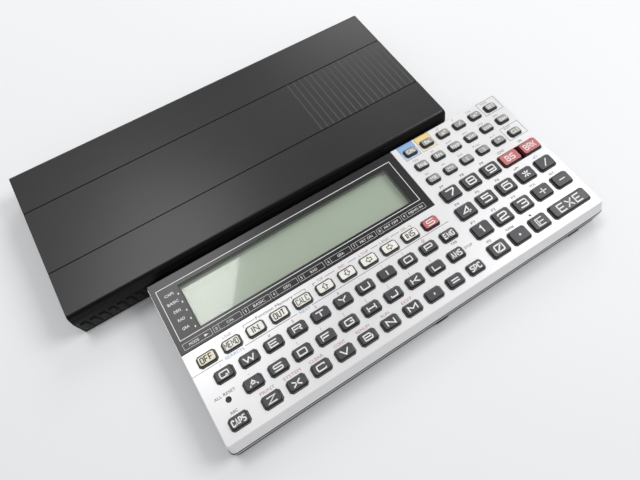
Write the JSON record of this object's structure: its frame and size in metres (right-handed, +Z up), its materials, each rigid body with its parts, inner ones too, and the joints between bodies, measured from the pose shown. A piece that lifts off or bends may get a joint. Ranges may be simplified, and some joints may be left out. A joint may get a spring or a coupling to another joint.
{
  "type": "pocket computer with slide-on hard case",
  "caption": "Flat pocket computer with a one-line display, a full keyboard and a number pad, beside its ribbed slide-on hard case.",
  "frame": {"origin": "on the table, under the middle of the bounding box of the computer and its case", "axes": "+X along the computer from its left end to its right end, +Y from its front edge to its rear edge, +Z up"},
  "size_m": [0.2252, 0.1634, 0.0162],
  "materials": {
    "silver_case": "silver paint, satin",
    "dark_case": "fine texture",
    "display_panel": "gloss",
    "clear_lens": "clear, gloss",
    "lcd_glass": "grey-green display",
    "black_resin": "moulded",
    "grey_rubber": "matt",
    "circuit_board": "solder resist",
    "bright_metal": "plated",
    "dark_key": "satin",
    "grey_key": "satin",
    "cream_key": "satin",
    "red_key": "satin",
    "hard_case_black": "fine texture"
  },
  "bodies": {
    "computer": {"lower_case": "dark_case", "upper_case": "silver_case", "display_panel": "display_panel", "display_window": "clear_lens", "lcd_glass": "lcd_glass", "lcd_frame": "black_resin", "elastomer_strip_front": "grey_rubber", "elastomer_strip_rear": "grey_rubber", "letter_key_mat": "dark_key", "number_key_mat": "grey_key", "key_board": "circuit_board", "main_board": "circuit_board", "board_ribbon": "black_resin", "piezo_buzzer": "bright_metal", "backup_cell": "bright_metal", "cell_contact": "bright_metal", "main_cell_left": "bright_metal", "main_cell_right": "bright_metal", "expansion_connector": "black_resin", "rubber_foot_front": "grey_rubber", "rubber_foot_rear": "grey_rubber", "screw_rear_left": "bright_metal", "screw_rear_right": "bright_metal", "screw_front_left": "bright_metal", "screw_front_right": "bright_metal"},
    "key_0": {"key_0": "dark_key"},
    "key_1": {"key_1": "dark_key"},
    "key_2": {"key_2": "dark_key"},
    "key_3": {"key_3": "dark_key"},
    "key_4": {"key_4": "dark_key"},
    "key_5": {"key_5": "dark_key"},
    "key_6": {"key_6": "dark_key"},
    "key_7": {"key_7": "dark_key"},
    "key_8": {"key_8": "dark_key"},
    "key_9": {"key_9": "dark_key"},
    "key_multiply": {"key_multiply": "dark_key"},
    "key_divide": {"key_divide": "dark_key"},
    "key_plus": {"key_plus": "dark_key"},
    "key_minus": {"key_minus": "dark_key"},
    "key_point": {"key_point": "dark_key"},
    "key_exponent": {"key_exponent": "dark_key"},
    "key_execute": {"key_execute": "dark_key"},
    "key_backspace": {"key_backspace": "red_key"},
    "key_break": {"key_break": "red_key"},
    "key_off": {"key_off": "cream_key"},
    "key_memo": {"key_memo": "cream_key"},
    "key_in": {"key_in": "cream_key"},
    "key_out": {"key_out": "cream_key"},
    "key_calc": {"key_calc": "cream_key"},
    "key_up": {"key_up": "cream_key"},
    "key_down": {"key_down": "cream_key"},
    "key_left": {"key_left": "cream_key"},
    "key_right": {"key_right": "cream_key"},
    "key_insert": {"key_insert": "cream_key"},
    "key_shift": {"key_shift": "red_key"},
    "reset_button": {"reset_button": "dark_case"},
    "contrast_dial": {"contrast_dial": "dark_case"},
    "battery_cover": {"battery_cover": "dark_case"},
    "connector_cover": {"connector_cover": "dark_case"},
    "hard_case": {"hard_case": "hard_case_black"}
  },
  "joints": [
    {"name": "press_0", "type": "slide", "parent": "computer", "child": "key_0", "axis": [0, 0, -1], "range_m": [0, 0.0009], "stiffness_N_per_m": 200, "springref_m": -0.0005},
    {"name": "press_1", "type": "slide", "parent": "computer", "child": "key_1", "axis": [0, 0, -1], "range_m": [0, 0.0009], "stiffness_N_per_m": 200, "springref_m": -0.0005},
    {"name": "press_2", "type": "slide", "parent": "computer", "child": "key_2", "axis": [0, 0, -1], "range_m": [0, 0.0009], "stiffness_N_per_m": 200, "springref_m": -0.0005},
    {"name": "press_3", "type": "slide", "parent": "computer", "child": "key_3", "axis": [0, 0, -1], "range_m": [0, 0.0009], "stiffness_N_per_m": 200, "springref_m": -0.0005},
    {"name": "press_4", "type": "slide", "parent": "computer", "child": "key_4", "axis": [0, 0, -1], "range_m": [0, 0.0009], "stiffness_N_per_m": 200, "springref_m": -0.0005},
    {"name": "press_5", "type": "slide", "parent": "computer", "child": "key_5", "axis": [0, 0, -1], "range_m": [0, 0.0009], "stiffness_N_per_m": 200, "springref_m": -0.0005},
    {"name": "press_6", "type": "slide", "parent": "computer", "child": "key_6", "axis": [0, 0, -1], "range_m": [0, 0.0009], "stiffness_N_per_m": 200, "springref_m": -0.0005},
    {"name": "press_7", "type": "slide", "parent": "computer", "child": "key_7", "axis": [0, 0, -1], "range_m": [0, 0.0009], "stiffness_N_per_m": 200, "springref_m": -0.0005},
    {"name": "press_8", "type": "slide", "parent": "computer", "child": "key_8", "axis": [0, 0, -1], "range_m": [0, 0.0009], "stiffness_N_per_m": 200, "springref_m": -0.0005},
    {"name": "press_9", "type": "slide", "parent": "computer", "child": "key_9", "axis": [0, 0, -1], "range_m": [0, 0.0009], "stiffness_N_per_m": 200, "springref_m": -0.0005},
    {"name": "press_multiply", "type": "slide", "parent": "computer", "child": "key_multiply", "axis": [0, 0, -1], "range_m": [0, 0.0009], "stiffness_N_per_m": 200, "springref_m": -0.0005},
    {"name": "press_divide", "type": "slide", "parent": "computer", "child": "key_divide", "axis": [0, 0, -1], "range_m": [0, 0.0009], "stiffness_N_per_m": 200, "springref_m": -0.0005},
    {"name": "press_plus", "type": "slide", "parent": "computer", "child": "key_plus", "axis": [0, 0, -1], "range_m": [0, 0.0009], "stiffness_N_per_m": 200, "springref_m": -0.0005},
    {"name": "press_minus", "type": "slide", "parent": "computer", "child": "key_minus", "axis": [0, 0, -1], "range_m": [0, 0.0009], "stiffness_N_per_m": 200, "springref_m": -0.0005},
    {"name": "press_point", "type": "slide", "parent": "computer", "child": "key_point", "axis": [0, 0, -1], "range_m": [0, 0.0009], "stiffness_N_per_m": 200, "springref_m": -0.0005},
    {"name": "press_exponent", "type": "slide", "parent": "computer", "child": "key_exponent", "axis": [0, 0, -1], "range_m": [0, 0.0009], "stiffness_N_per_m": 200, "springref_m": -0.0005},
    {"name": "press_execute", "type": "slide", "parent": "computer", "child": "key_execute", "axis": [0, 0, -1], "range_m": [0, 0.0009], "stiffness_N_per_m": 200, "springref_m": -0.0005},
    {"name": "press_backspace", "type": "slide", "parent": "computer", "child": "key_backspace", "axis": [0, 0, -1], "range_m": [0, 0.0009], "stiffness_N_per_m": 200, "springref_m": -0.0005},
    {"name": "press_break", "type": "slide", "parent": "computer", "child": "key_break", "axis": [0, 0, -1], "range_m": [0, 0.0009], "stiffness_N_per_m": 200, "springref_m": -0.0005},
    {"name": "press_off", "type": "slide", "parent": "computer", "child": "key_off", "axis": [0, 0, -1], "range_m": [0, 0.0009], "stiffness_N_per_m": 200, "springref_m": -0.0005},
    {"name": "press_memo", "type": "slide", "parent": "computer", "child": "key_memo", "axis": [0, 0, -1], "range_m": [0, 0.0009], "stiffness_N_per_m": 200, "springref_m": -0.0005},
    {"name": "press_in", "type": "slide", "parent": "computer", "child": "key_in", "axis": [0, 0, -1], "range_m": [0, 0.0009], "stiffness_N_per_m": 200, "springref_m": -0.0005},
    {"name": "press_out", "type": "slide", "parent": "computer", "child": "key_out", "axis": [0, 0, -1], "range_m": [0, 0.0009], "stiffness_N_per_m": 200, "springref_m": -0.0005},
    {"name": "press_calc", "type": "slide", "parent": "computer", "child": "key_calc", "axis": [0, 0, -1], "range_m": [0, 0.0009], "stiffness_N_per_m": 200, "springref_m": -0.0005},
    {"name": "press_up", "type": "slide", "parent": "computer", "child": "key_up", "axis": [0, 0, -1], "range_m": [0, 0.0009], "stiffness_N_per_m": 200, "springref_m": -0.0005},
    {"name": "press_down", "type": "slide", "parent": "computer", "child": "key_down", "axis": [0, 0, -1], "range_m": [0, 0.0009], "stiffness_N_per_m": 200, "springref_m": -0.0005},
    {"name": "press_left", "type": "slide", "parent": "computer", "child": "key_left", "axis": [0, 0, -1], "range_m": [0, 0.0009], "stiffness_N_per_m": 200, "springref_m": -0.0005},
    {"name": "press_right", "type": "slide", "parent": "computer", "child": "key_right", "axis": [0, 0, -1], "range_m": [0, 0.0009], "stiffness_N_per_m": 200, "springref_m": -0.0005},
    {"name": "press_insert", "type": "slide", "parent": "computer", "child": "key_insert", "axis": [0, 0, -1], "range_m": [0, 0.0009], "stiffness_N_per_m": 200, "springref_m": -0.0005},
    {"name": "press_shift", "type": "slide", "parent": "computer", "child": "key_shift", "axis": [0, 0, -1], "range_m": [0, 0.0009], "stiffness_N_per_m": 200, "springref_m": -0.0005},
    {"name": "press_reset", "type": "slide", "parent": "computer", "child": "reset_button", "axis": [0, 0, -1], "range_m": [0, 0.0006], "stiffness_N_per_m": 200, "springref_m": -0.0005},
    {"name": "contrast_turn", "type": "hinge", "parent": "computer", "child": "contrast_dial", "pos_m": [0.1087, -0.02375, 0.0036], "axis": [0, 0, 1], "range_deg": [-135, 135]},
    {"name": "battery_cover_slide", "type": "slide", "parent": "computer", "child": "battery_cover", "axis": [1, 0, 0], "range_m": [0, 0.053]},
    {"name": "connector_cover_pull", "type": "slide", "parent": "computer", "child": "connector_cover", "axis": [-1, 0, 0], "range_m": [0, 0.006]},
    {"name": "hard_case_slide", "type": "slide", "parent": "computer", "child": "hard_case", "axis": [1, 0, 0], "range_m": [-0.06, 0.03]}
  ]
}
